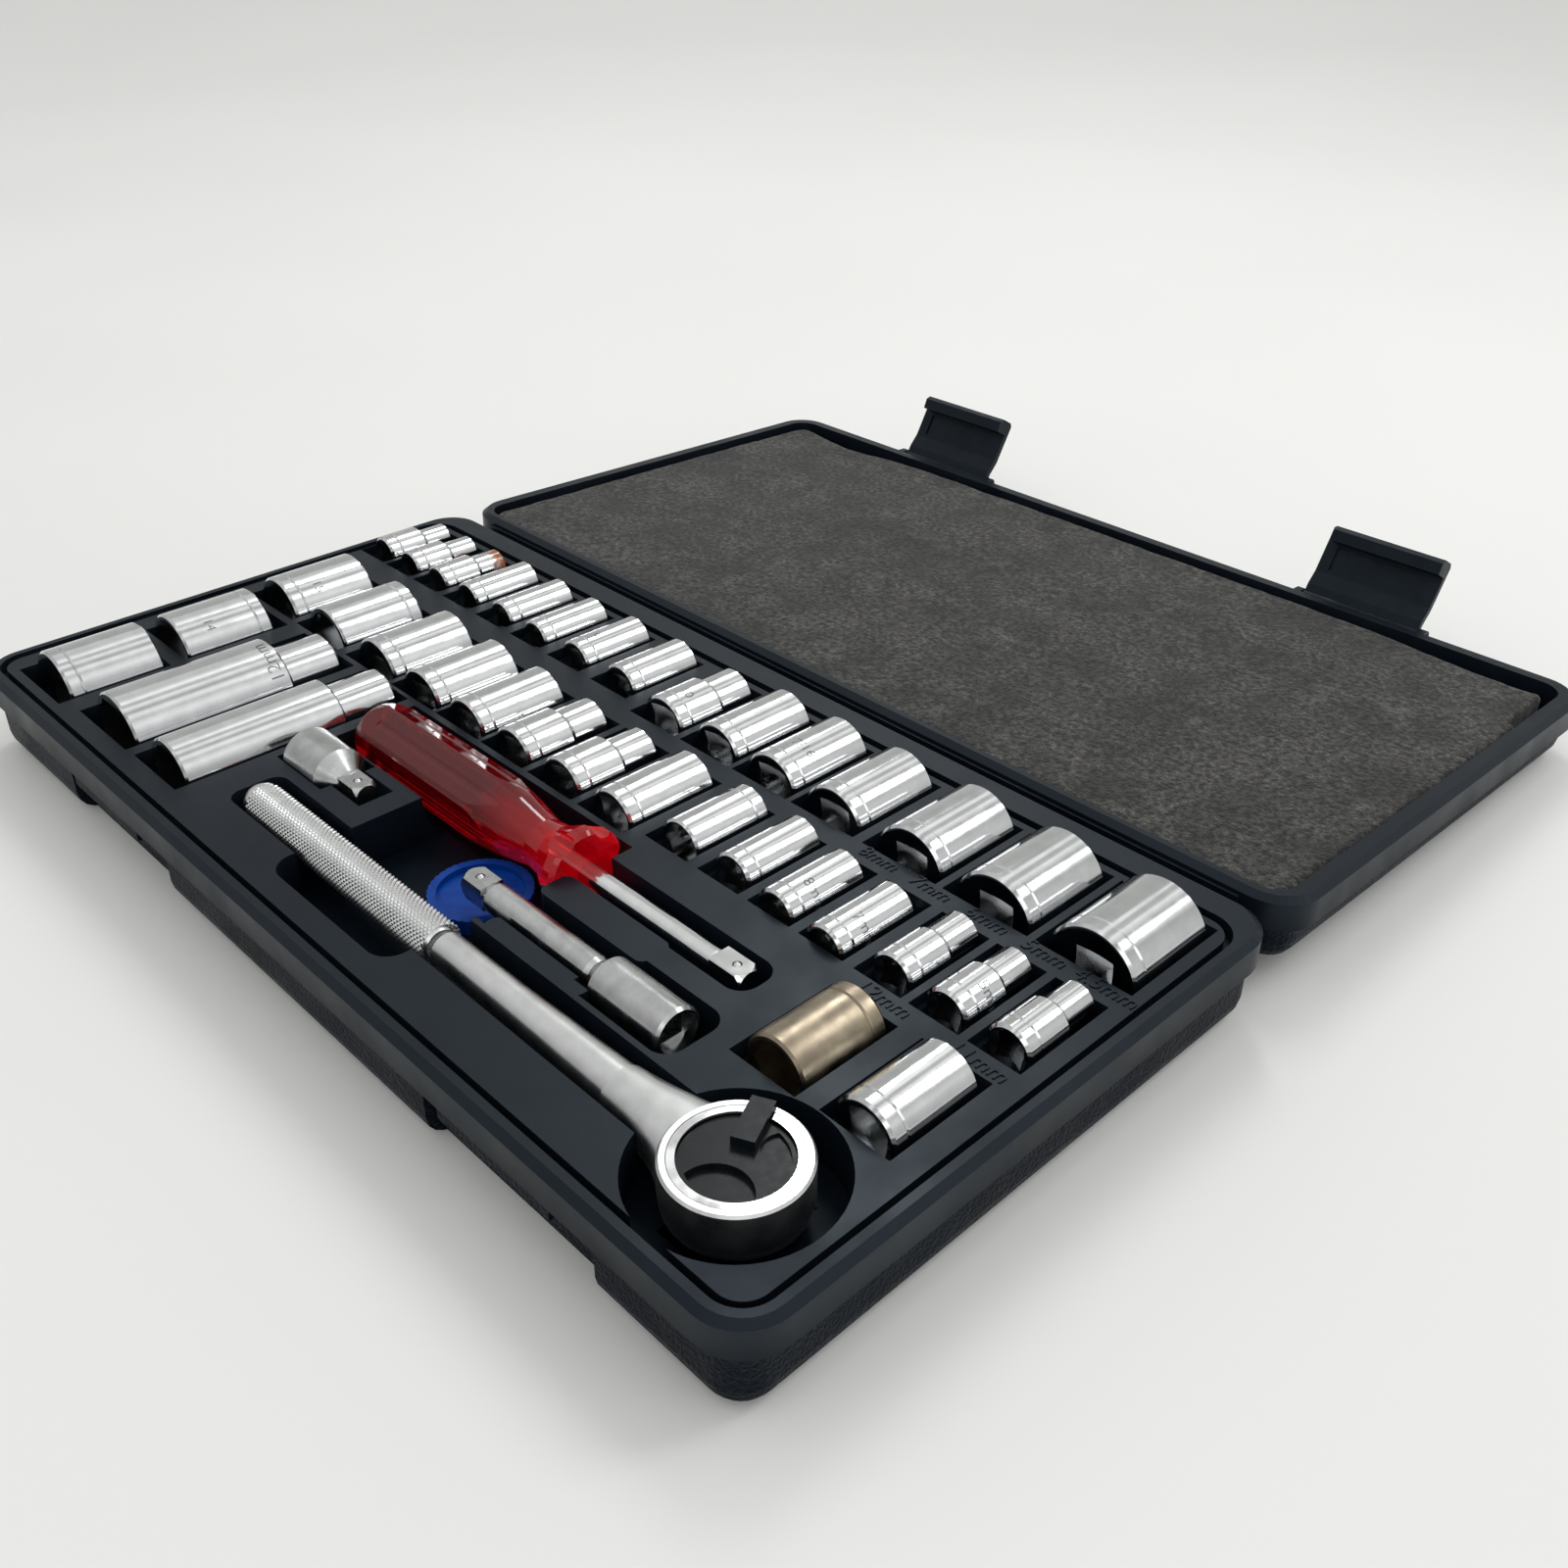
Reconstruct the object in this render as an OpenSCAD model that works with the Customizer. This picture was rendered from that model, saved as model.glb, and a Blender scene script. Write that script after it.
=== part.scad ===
// Socket wrench set in a blow-moulded case.
// Origin: centre of the base's resting face. +X along the case, +Y from the
// front edge to the lid, +Z up. All sizes in millimetres.

/* [Case] */
// Length of the case over its rims
case_l = 330; // [326:1:380]
// Width of the base from its front edge to its hinge edge
base_w = 168; // [166:1:190]
// Height of the base's rim above the ground
rim_z = 26; // [25:0.1:29]
// Height of the smooth band below each rim
band_h = 9; // [7:0.5:10.5]
// Depth of the lid from its rim to its outer face
lid_d = 20; // [18.5:0.5:24]
// Slope of the opened lid from its hinge down to the ground, in degrees
lid_tilt = 2; // [0:0.1:2]
// Radius of the rims' corners
rim_r = 12; // [8:1:16]
// How far the lower body is set in behind the band at the front
body_inset_y = 2.1; // [0.5:0.1:2.5]
// How far the lower body is set in behind the band at the ends
body_inset_x = 2.6; // [1:0.1:3]
// Radius of the lower body's corners
body_r = 8; // [6.5:0.5:11]
// Radius along the bottom edges
bottom_r = 6; // [3:0.5:8]
// Height of the sloped shoulder on each rim
shoulder_h = 1.4; // [0.6:0.1:2]
// Width of the sloped shoulder on each rim
shoulder_w = 1.8; // [1:0.1:2.4]

/* [Tray] */
// How far the tray's surface lies below the rim
tray_drop = 0.5; // [0.2:0.1:1]
// Distance from the front rim's outer edge to the groove
groove_in = 3.8; // [3:0.1:5]
// Distance from the hinge rim's outer edge to the groove
groove_in_hinge = 9.2; // [8:0.1:12]
// Width of the groove round the tray
groove_w = 1.8; // [1.2:0.1:2.4]
// Depth of the groove round the tray
groove_d = 3; // [2:0.5:6]
// Thickness of the base's floor under the tray
floor_t = 1.6; // [1.2:0.1:1.8]
// Side clearance of a socket in its pocket
pocket_gap = 1; // [0.4:0.1:1.1]
// Length of a pocket beyond its socket
pocket_play = 5.6; // [4.5:0.1:6]
// Gap between a tool and the floor that it rests on
seat_gap = 0.25; // [0.1:0.05:0.3]
// Depth of the ratchet's well below the rim
well_depth = 13.5; // [12:0.5:15]

/* [Lid and latches] */
// Width of the trough between base and lid
hinge_gap = 4.5; // [3.5:0.1:6]
// Thickness of the hinge web
web_t = 0.8; // [0.5:0.1:1.2]
// Width of the lid's flat rim
lid_rim_w = 5.5; // [5.2:0.1:6]
// Thickness of the lid's outer wall
lid_wall = 2; // [1.4:0.1:3]
// How far the foam's surface lies below the lid's rim
foam_drop = 1.5; // [0.8:0.1:3]
// Gap between the foam and the lid's wall
foam_gap = 0.4; // [0.2:0.1:1]
// Distance of each latch from the middle of the pair
latch_x = 88.6; // [86:0.1:90]
// Offset of the pair of latches from the middle of the case
latch_shift = 1.1; // [0:0.1:3]
// Width of a latch
latch_w = 40; // [34:1:41]
// Height of a latch from its pivot to its tip
latch_h = 24; // [23:0.1:25]
// Thickness of the latch's plate
latch_t = 2; // [1.6:0.1:2.4]
// Reach of the hook at the latch's tip
hook_reach = 5; // [4:0.1:5.2]
// Height of the hook at the latch's tip
hook_h = 5; // [4:0.1:5.2]
// Radius of the latch's pivot pins
latch_pin_r = 1; // [0.8:0.1:1.2]
// Lean of the opened latch, in degrees
latch_lean = 28; // [0:1:40]
// Width of the recess for a closed latch
recess_w = 57; // [54:1:60]
// Distance of each recess from the middle of the pair
recess_x = 87; // [86:0.5:88]
// Offset of the pair of recesses from the middle of the case
recess_shift = 7; // [6:0.5:8]

/* [Ratchet] */
// Distance from the head's centre to the butt
ratchet_l = 182; // [150:1:184]
// Radius of the round head
head_r = 15; // [14.6:0.1:16]
// Thickness of the head
head_t = 14; // [13.4:0.1:15]
// How far the head's upper face stands above the rim
head_rise = 3.5; // [3:0.1:4]
// Radius of the knurled grip
grip_r = 5.2; // [4.6:0.1:6]
// Length of the knurled grip
grip_l = 83; // [60:1:100]
// Radius of the shank behind the grip
shank_r = 4.3; // [3.6:0.1:4.6]
// Radius of the shank at the head
shank_end_r = 5.6; // [4.8:0.1:6]
// Side of the larger drive square
drive_l = 9.5; // [9.4:0.05:9.55]
// Side of the smaller drive square
drive_s = 6.3; // [6.2:0.05:6.35]
// Length of the larger drive square
anvil_l = 8.6; // [7:0.1:8.8]
// Number of teeth on the drive gear
gear_teeth = 36; // [24:1:45]
// Turn of the thumb tab from the handle's line, in degrees
tab_angle = 64; // [40:1:80]

/* [Spinner handle] */
// Length of the grip
spinner_grip_l = 92; // [80:1:97]
// Radius of the grip over its edges
spinner_grip_r = 10; // [9:0.1:10.6]
// Radius of the flared collar
spinner_collar_r = 11.2; // [10:0.1:11.4]
// Radius of the steel shaft
spinner_shaft_r = 2.9; // [2.5:0.1:3.1]
// Free length of the steel shaft
spinner_shaft_l = 57; // [50:1:59]

/* [Extension and adapter] */
// Length of the extension bar
ext_l = 75; // [70:1:76]
// Radius of the extension bar
ext_r = 3.8; // [3.5:0.1:4]
// Radius of the extension's socket end
ext_end_r = 6.2; // [5.6:0.1:6.4]
// Length of the extension's socket end
ext_end_l = 25; // [20:1:27]
// Radius of the adapter's socket end
adapter_r = 7.8; // [7.4:0.1:8]
// Length of the adapter's socket end
adapter_l = 17; // [14:0.5:18]
// Radius of the ribbed cap
cap_r = 13; // [11:0.5:13.5]
// Height of the ribbed cap
cap_h = 4; // [3:0.5:4.5]

/* [Sockets] */
// Length of a socket with the larger drive
sock_l = 27.5; // [24:0.5:27.5]
// Length of a socket with the smaller drive
sock_s = 24; // [22:0.5:24.5]
// Length of a deep socket
sock_deep = 64; // [60:0.5:65]
// Length of the two sockets at the front right
sock_front = 24.5; // [22:0.5:25]
// Length of the narrow drive end on a deep socket
deep_neck_l = 17; // [14:0.5:20]
// Width of the ring groove on each socket
ring_w = 0.8; // [0.4:0.1:1.2]
// Depth of the ring groove on each socket
ring_d = 0.35; // [0.2:0.05:0.5]
// Clearance of a drive hole over its square
drive_play = 0.15; // [0.1:0.05:0.3]

/* [Hidden] */
$fn = 48;
eps = 0.01;
fit = 0.05;                  // radial running clearance of a pin in its bore
part_gap = 0.3;              // clearance between pieces that move past each other

tray_z = rim_z - tray_drop;
band_z = rim_z - band_h;
front_y = -base_w/2;
hinge_y = base_w/2 + hinge_gap/2;
hinge_z = rim_z + 0.1;       // keeps the closed rims 0.2 mm apart
lid_near_y = base_w/2 + hinge_gap;
lid_mid_y = lid_near_y + base_w/2;
lid_far_y = lid_near_y + base_w;

// Tray outline inside its groove
tray_l = case_l - 2*groove_in;
tray_front = front_y + groove_in;
tray_back = base_w/2 - groove_in_hinge;

// Each socket's axis lies below the tray's surface, deeper for a thicker socket
axis_sink = 1;
axis_share = 0.45;
function axis_z(r) = tray_z - axis_sink - axis_share*(r - 6);

// One line per socket: [x, outer radius, across flats, 1 = larger drive, nose
// radius (0 = straight), 1 = turned end for end, gap to the pocket's back wall]
back_wall = 70.8;
back_row = [
  [-152.2, 6, 4, 0, 4.2, 0, 0.9], [-136.8, 6, 4.8, 0, 4.5, 0, 0.9], [-120.6, 6, 5.6, 0, 4.8, 0, 0.9],
  [-103.6, 6, 6.4, 0, 0, 0, 0.9], [-85.4, 6, 7.2, 0, 0, 0, 0.9], [-67.3, 6, 8, 0, 0, 0, 1.4],
  [-48, 6.5, 8.8, 0, 0, 0, 1], [-26.7, 7.1, 9.6, 0, 0, 0, 1.2], [-3, 8.5, 9.6, 1, 7.2, 0, 1.6],
  [18.4, 8.7, 11.2, 1, 0, 0, 0.9], [39.8, 9.2, 12.8, 1, 0, 0, 1.2], [62.6, 10, 14.3, 1, 0, 0, 1.5],
  [88.6, 10.9, 15.9, 1, 0, 0, 1.5], [115.2, 11.6, 17.5, 1, 0, 0, 2], [143, 12.2, 19.1, 1, 0, 0, 1.9]];
mid_wall = 31;
mid_row = [
  [-140.5, 11.8, 17, 1, 0, 0, 2.8], [-112.5, 11.3, 16, 1, 0, 1, 2.2], [-84.8, 10.6, 15, 1, 0, 0, 2.2],
  [-60.5, 9.8, 14, 1, 0, 0, 2.6], [-38.5, 9.1, 13, 1, 0, 0, 2.5], [-17.6, 8.4, 10, 1, 7, 0, 2],
  [3.4, 8.3, 9, 1, 6.4, 0, 1.6], [24.3, 8.2, 12, 1, 0, 0, 1.7], [45.6, 6.8, 10, 0, 0, 1, 0.9],
  [64.4, 6.2, 9, 0, 0, 0, 0.9], [81.6, 6, 8, 0, 0, 0, 3.4], [98.5, 6, 7, 0, 0, 0, 4.6],
  [115.7, 6, 6, 0, 5, 0, 0.9], [131.8, 6, 5, 0, 4.6, 0, 1.6], [148.1, 6, 4.5, 0, 4.4, 0, 0.9]];
// Sockets in pockets of their own, whose back wall's y comes next, then the length
column = [
  [-138.5, 12.8, 19, 1, 0, 0, 1.2, -42.5, sock_l], [-138.5, 12.2, 18, 1, 0, 1, 3.8, -4.6, sock_l]];
front_pair = [
  [118.9, 8.6, 12, 1, 0, 1, 1.8, -5.6, sock_front], [143.6, 8.4, 11, 1, 0, 0, 2.6, -4.6, sock_front]];
// Deep sockets: [x, outer radius, across flats, neck radius, y of the open end]
deep_pair = [
  [-102.5, 13.4, 20.8, 9.4, -69], [-72.2, 10.8, 16, 8.2, -68.5]];

// Tools along X
ratchet_x = 135;
ratchet_y = -57;
spinner_x = 38;
spinner_y = -16.5;
spinner_z = rim_z - 3;
ext_x = 22;
ext_y = -38.5;
ext_z = rim_z - 2.5;
adapter_x = -55.5;
adapter_y = -37.5;
adapter_z = rim_z - 2;
cap_x = 18.5;
cap_y = -34.4;
tool_gap = 1.2;              // side clearance of a long tool in its channel
slot_w = 17;                 // width of the slot below the ratchet's head

well_floor = rim_z - well_depth;
head_top_z = rim_z + head_rise;
head_bottom_z = head_top_z - head_t;
head_mid_z = head_bottom_z + 7;
plate_flange_r = 12.9;
plate_r = 11.2;
plate_t = 2.9;
plate_z = head_top_z - plate_t;
ring_t = 1.1;
gear_r = 10.9;
gear_root_r = 9.8;
gear_z = head_bottom_z + 2;
gear_t = plate_z - gear_z - 0.3;
hub_r = 7.4;
pawl_x = -12.6;
pawl_room_r = 4.2;
detent_r = 12;
detent_ball_r = 0.7;
plate_swing = 20;

// ---------------------------------------------------------------- plan shapes

// Rectangle with round corners, from its corner points
module round_rect(x0, y0, x1, y1, r) {
  translate([x0 + r, y0]) square([x1 - x0 - 2*r, y1 - y0]);
  translate([x0, y0 + r]) square([x1 - x0, y1 - y0 - 2*r]);
  for (x = [x0 + r, x1 - r], y = [y0 + r, y1 - r]) translate([x, y]) circle(r);
}

// The case's outline, drawn in by dx and dy
module case_plan(dx, dy, r) {
  round_rect(-case_l/2 + dx, -base_w/2 + dy, case_l/2 - dx, base_w/2 - dy, r);
}

module slab(z, dx, dy, r) {
  translate([0, 0, z]) linear_extrude(eps) case_plan(dx, dy, r);
}

// Lower body whose bottom edge is rounded: the hull of slabs on a quarter arc
module rounded_body(h, steps = 4) {
  hull() {
    for (i = [0:steps]) {
      in = bottom_r*(1 - sin(90*i/steps));
      slab(bottom_r*(1 - cos(90*i/steps)), body_inset_x + in, body_inset_y + in,
        max(body_r - in, 2), $fn = 32);
    }
    slab(h - eps, body_inset_x, body_inset_y, body_r, $fn = 32);
  }
}

// Band with a sloped shoulder above it, up to height h
module rim_band(h) {
  translate([0, 0, h - band_h]) linear_extrude(band_h - shoulder_h) case_plan(0, 0, rim_r);
  hull() {
    slab(h - shoulder_h - eps, 0, 0, rim_r, $fn = 32);
    slab(h - eps, shoulder_w, shoulder_w, rim_r - shoulder_w, $fn = 32);
  }
}

// ---------------------------------------------------------------- latch zone

function latch_places() = [latch_shift - latch_x, latch_shift + latch_x];
function recess_places() = [recess_shift - recess_x, recess_shift + recess_x];
latch_axis_y = lid_far_y + latch_pin_r + 1.1;
latch_axis_z = hinge_z - 2.6;
// Where the pivot comes to lie when the lid is closed
closed_axis_z = 2*hinge_z - latch_axis_z;
recess_depth = 6.5;
lug_w = 2.6;
lug_r = latch_pin_r + 1;
nub_h = 3.8;
nub_out = 5;

// Recess for a closed latch in the base's front, with the catch left in it
module latch_recess(i) {
  wall_y = front_y + recess_depth;
  difference() {
    translate([recess_places()[i] - recess_w/2, front_y - 1, -1])
      cube([recess_w, recess_depth + 1, band_z + 1]);
    translate([latch_places()[i] - latch_w/2 + 1, wall_y - nub_out, closed_axis_z - latch_h + hook_h + part_gap])
      cube([latch_w - 2, nub_out + 1, nub_h]);
  }
}

// ---------------------------------------------------------------- pockets

module along_y(x, y, z) {
  translate([x, y, z]) rotate([-90, 0, 0]) children();
}

module along_x(x, y, z) {
  translate([x, y, z]) rotate([0, 90, 0]) children();
}

// Round-bottomed channel along X, open at the tray's surface
module channel_x(x0, x1, y, r, z) {
  along_x(x0, y, z) cylinder(r = r, h = x1 - x0);
  translate([x0, y - r, z]) cube([x1 - x0, 2*r, rim_z + 2*r - z]);
}

// Pocket of a socket: a cradle below its axis and a wider slot above it
module pocket(x, y0, y1, r) {
  z = axis_z(r);
  along_y(x, y0, z) cylinder(r = r + seat_gap, h = y1 - y0);
  translate([x - r - pocket_gap, y0, z - r*0.35])
    cube([2*(r + pocket_gap), y1 - y0, rim_z + r]);
}

module socket_pocket(s, wall, len) {
  pocket(s[0], wall - len - pocket_play, wall, s[1]);
}

module deep_pocket(s) {
  pocket(s[0], s[4] - 4, s[4] + sock_deep + 1.2, s[1]);
}

function row_len(s) = s[3] == 1 ? sock_l : sock_s;

// Depth of the well's plan, cut from the tray's surface
module well(z) {
  translate([0, 0, z]) linear_extrude(rim_z - z + 1) children();
}

// Wells for the ratchet, spinner and extension, with the islands left standing
module tool_wells() {
  head_gap = 7;
  strip_y = ratchet_y - 9.5;
  ratchet_end = ratchet_x - ratchet_l - 2;
  difference() {
    union() {
      well(well_floor) {
        translate([ratchet_x, ratchet_y]) circle(head_r + head_gap);
        round_rect(ratchet_end, ratchet_y - 7.5, ratchet_x, ratchet_y + 8, 4);
        round_rect(-14, strip_y - 5.5, 37, ratchet_y, 6);
        round_rect(-14, ratchet_y - 4, 37, spinner_y + 8, 5);
        round_rect(20, ext_y - 9, ext_x + ext_l + 6, ext_y + 9, 5);
      }
      well(well_floor - 1)
        round_rect(spinner_x - 2, spinner_y - 6.5, spinner_x + spinner_shaft_l + 4, spinner_y + 6, 5);
      // Open cradle round the spinner's grip
      channel_x(spinner_x - spinner_grip_l - 2, spinner_x + 2, spinner_y,
        spinner_collar_r + tool_gap, spinner_z);
    }
    // Pad under the ratchet's head, and saddles that carry the grips
    translate([ratchet_x, ratchet_y, -1]) cylinder(r = head_r - 2, h = head_bottom_z - seat_gap + 1);
    for (x = [-38, -20]) saddle(x, ratchet_y, head_mid_z, grip_r, 15);
    for (x = [-50, -20]) saddle(x, spinner_y, spinner_z, spinner_grip_r, 26);
    translate([0, 0, -1]) linear_extrude(rim_z + 2) {
      round_rect(38, ext_y + 7.3, 76, spinner_y - 5.5, 2.5);
      round_rect(40, ratchet_y + 4.6 + shank_r, 75, ext_y - 5.2, 1.6);
    }
  }
  // Slot for the drive square below the head, and a notch behind the head that leads into it
  translate([ratchet_x - slot_w/2, ratchet_y - head_r + 2, floor_t - 0.3])
    cube([slot_w, 2*head_r - 4, rim_z]);
  intersection() {
    translate([ratchet_x, ratchet_y, floor_t - 0.3]) cylinder(r = head_r + 5.5, h = rim_z);
    translate([ratchet_x - head_r + 2, ratchet_y + 9, 0]) cube([head_r - 3, head_r, 2*rim_z]);
  }
  // Seat of the extension's thick end
  channel_x(ext_x + ext_l - ext_end_l - 2, ext_x + ext_l + 5, ext_y, ext_end_r + seat_gap, ext_z);
}

// Cross wall with a round notch for a tool of radius r along X
module saddle(x, y, z, r, w) {
  difference() {
    translate([x - 1.5, y - w/2, -1]) cube([3, w, z - r*0.5 + 1]);
    along_x(x - 2, y, z) cylinder(r = r + seat_gap, h = 4);
  }
}

// Seat of the adapter, between the deep pockets and the ratchet
module adapter_seat() {
  channel_x(adapter_x - 2, adapter_x + adapter_l + 3.4, adapter_y, adapter_r + seat_gap, adapter_z);
  channel_x(adapter_x + adapter_l, adapter_x + adapter_l + 17, adapter_y, 5, adapter_z);
}

// ---------------------------------------------------------------- case

// The base with its tray, before it is divided
module whole_base() {
  difference() {
    union() {
      rounded_body(band_z + 1);
      rim_band(rim_z);
    }
    for (i = [0, 1]) latch_recess(i);
    // The tray lies a little below the rim, inside a narrow groove
    translate([0, 0, tray_z]) linear_extrude(rim_z - tray_z + 1)
      round_rect(-tray_l/2, tray_front, tray_l/2, tray_back, rim_r - groove_in);
    translate([0, 0, tray_z - groove_d]) linear_extrude(rim_z) difference() {
      round_rect(-tray_l/2, tray_front, tray_l/2, tray_back, rim_r - groove_in);
      round_rect(-tray_l/2 + groove_w, tray_front + groove_w, tray_l/2 - groove_w,
        tray_back - groove_w, rim_r - groove_in - groove_w);
    }
    for (s = back_row) socket_pocket(s, back_wall, row_len(s));
    for (s = mid_row) socket_pocket(s, mid_wall, row_len(s));
    for (s = column) socket_pocket(s, s[7], s[8]);
    for (s = front_pair) socket_pocket(s, s[7], s[8]);
    for (s = deep_pair) deep_pocket(s);
    tool_wells();
    adapter_seat();
  }
}

// Room of the tray's blocks inside the outer shell, from y0 to y1
tray_in_x = tray_l/2 - groove_w;
tray_in_front = front_y + recess_depth + 1;
tray_in_back = tray_back - groove_w;
tray_split = 34.4;           // between the two long rows of pockets

module tray_room(y0, y1) {
  translate([-tray_in_x, y0, floor_t]) cube([2*tray_in_x, y1 - y0, rim_z]);
}

module base_shell() {
  color([0.10, 0.11, 0.13]) difference() {
    whole_base();
    tray_room(tray_in_front, tray_in_back);
  }
}

module tray_back() {
  color([0.10, 0.11, 0.13]) intersection() {
    whole_base();
    tray_room(tray_split, tray_in_back);
  }
}

module tray_front() {
  color([0.10, 0.11, 0.13]) intersection() {
    whole_base();
    tray_room(tray_in_front, tray_split);
  }
}

// Everything on the lid turns with it about the hinge line
module opened() {
  translate([0, hinge_y, hinge_z]) rotate([-lid_tilt, 0, 0])
    translate([0, -hinge_y, -hinge_z]) children();
}

lid_in_x = case_l/2 - lid_rim_w;
lid_in_near = lid_near_y + lid_rim_w - 1.9;
lid_in_far = lid_far_y - lid_rim_w;
lid_floor_z = rim_z - lid_d + lid_wall;

module lid_shell() {
  color([0.10, 0.11, 0.13]) opened() difference() {
    union() {
      translate([0, lid_mid_y, rim_z - lid_d]) {
        rounded_body(lid_d - band_h + 1);
        rim_band(lid_d);
      }
      for (x = latch_places(), side = [-1, 1]) latch_lug(x + side*(latch_w/2 + part_gap + lug_w/2));
    }
    translate([0, 0, lid_floor_z]) linear_extrude(lid_d)
      round_rect(-lid_in_x, lid_in_near, lid_in_x, lid_in_far, 7);
    for (x = latch_places())
      along_x(x - latch_w/2 - lug_w - 1, latch_axis_y, latch_axis_z)
        cylinder(r = latch_pin_r + fit, h = latch_w + 2*lug_w + 2);
  }
}

// Ear that carries one end of a latch's pivot
module latch_lug(x) {
  along_x(x - lug_w/2, latch_axis_y, latch_axis_z) cylinder(r = lug_r, h = lug_w);
  translate([x - lug_w/2, lid_far_y - 2, latch_axis_z - lug_r])
    cube([lug_w, latch_axis_y - lid_far_y + 2, 2*lug_r]);
}

module lid_foam() {
  color([0.30, 0.31, 0.32]) opened()
    translate([0, 0, lid_floor_z + part_gap/2])
      linear_extrude(lid_d - lid_wall - foam_drop - part_gap/2)
        round_rect(-lid_in_x + foam_gap, lid_in_near + foam_gap, lid_in_x - foam_gap,
          lid_in_far - foam_gap, 6.5);
}

// Thin web that bends between the two rims, folded down into a trough
module hinge_web() {
  half = hinge_gap/2;
  lid_side = half - 0.25;      // the tilted lid leans towards the web
  drop = 2.6;
  len = case_l - 2*rim_r - 4;
  color([0.07, 0.08, 0.09]) translate([-len/2, hinge_y, rim_z - shoulder_h - 1])
    rotate([90, 0, 90]) linear_extrude(len) difference() {
      translate([-half, -drop]) square([half + lid_side, drop]);
      translate([-half + web_t, -drop + web_t]) square([half + lid_side - 2*web_t, drop]);
    }
}

// Latch: pivot barrel, cranked plate and hook, with a sunk panel between ribs
module latch_at(x) {
  crank = 1.2;
  barrel_r = lug_r - 0.3;
  pin_out = lug_w - 0.4;
  panel_in = 0.6;
  color([0.11, 0.12, 0.14]) opened() translate([x, latch_axis_y, latch_axis_z])
    rotate([-latch_lean, 0, 0]) {
      difference() {
        rotate([90, 0, 90]) translate([0, 0, -latch_w/2]) linear_extrude(latch_w) polygon([
          [-latch_t/2, 0], [latch_t/2, 0], [latch_t/2, 3.4], [latch_t/2 + crank, 8.4],
          [latch_t/2 + crank, latch_h - 1.2], [latch_t/2 + crank - 1.2, latch_h],
          [-hook_reach + 1, latch_h], [-hook_reach - 0.4, latch_h - 1.4],
          [-hook_reach, latch_h - hook_h], [-latch_t/2 + crank, latch_h - hook_h],
          [-latch_t/2 + crank, 8.8], [-latch_t/2, 4]]);
        translate([-latch_w/2 + 4, -latch_t/2 + crank - 1, 10])
          cube([latch_w - 8, 1 + panel_in, latch_h - hook_h - 11]);
        // The hook is set in at one end
        translate([-latch_w/2 - 1, -hook_reach - 1, latch_h - hook_h - 1])
          cube([3.4, hook_reach + crank, hook_h + 2]);
      }
      along_x(-latch_w/2, 0, 0) cylinder(r = barrel_r, h = latch_w);
      along_x(-latch_w/2 - part_gap - pin_out, 0, 0)
        cylinder(r = latch_pin_r, h = latch_w + 2*(part_gap + pin_out));
    }
}

module latch_left() { latch_at(latch_places()[0]); }
module latch_right() { latch_at(latch_places()[1]); }

// ---------------------------------------------------------------- ratchet

module at_head() {
  translate([ratchet_x, ratchet_y, 0]) children();
}

// Handle profile from the butt to the head, turned about its own axis
module ratchet_handle() {
  neck = 3;
  end = ratchet_l - head_r + 3;
  along_x(-ratchet_l, 0, head_mid_z) rotate_extrude() polygon([
    [0, 0], [grip_r - 2.2, 0], [grip_r - 0.8, 0.7], [grip_r, 2.4], [grip_r, grip_l - 0.6],
    [grip_r - 0.6, grip_l], [shank_r - 0.5, grip_l + 0.8], [shank_r - 0.5, grip_l + neck - 1],
    [shank_r, grip_l + neck], [shank_r + 0.2, grip_l + 30], [shank_end_r, ratchet_l - head_r - 12],
    [shank_end_r + 1.2, end], [0, end]]);
}

// Round head: a turned body with a rounded lower edge
module head_blank() {
  rotate_extrude() polygon(concat(
    [[0, head_bottom_z], [head_r - 4, head_bottom_z]],
    [for (a = [10:10:90]) [head_r - 4 + 4*sin(a), head_bottom_z + 5 - 5*cos(a)]],
    [[head_r, head_top_z - 0.5], [head_r - 0.5, head_top_z], [0, head_top_z]]));
}

module ratchet_body() {
  color([0.62, 0.62, 0.63]) at_head() difference() {
    union() {
      ratchet_handle();
      head_blank();
      // Flat neck that blends the shank into the head
      intersection() {
        translate([0, 0, head_mid_z]) rotate([0, -90, 0]) cylinder(r1 = 10.5, r2 = 5.2, h = 30);
        translate([-30, -12, head_bottom_z + 1.5]) cube([30, 24, head_t - 3]);
      }
    }
    translate([0, 0, plate_z - part_gap]) cylinder(r = plate_flange_r + 0.35, h = head_t);
    translate([0, 0, gear_z - part_gap/2]) cylinder(r = gear_r + part_gap, h = head_t);
    translate([0, 0, -1]) cylinder(r = hub_r + fit, h = head_t + head_bottom_z);
    translate([pawl_x, 0, gear_z - part_gap/2]) cylinder(r = pawl_room_r, h = plate_z - gear_z);
    rotate(90) translate([detent_r, 0, plate_z - 7]) cylinder(r = detent_ball_r + 0.1, h = 8);
  }
}

// Gear, hub and drive square are one forging
module drive_gear() {
  pitch = 360/gear_teeth;
  color([0.70, 0.70, 0.72]) at_head() difference() {
    union() {
      translate([0, 0, gear_z]) linear_extrude(gear_t) polygon([for (i = [0:gear_teeth - 1])
        each [[gear_root_r*cos(i*pitch), gear_root_r*sin(i*pitch)],
          [gear_r*cos((i + 0.35)*pitch), gear_r*sin((i + 0.35)*pitch)],
          [gear_r*cos((i + 0.65)*pitch), gear_r*sin((i + 0.65)*pitch)]]]);
      translate([0, 0, head_bottom_z - 0.6]) cylinder(r = hub_r, h = gear_t);
      drive_square(drive_l, anvil_l, head_bottom_z - 0.6 - anvil_l);
    }
    ball_hole(drive_l, head_bottom_z - 0.6 - anvil_l/2);
  }
}

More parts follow.
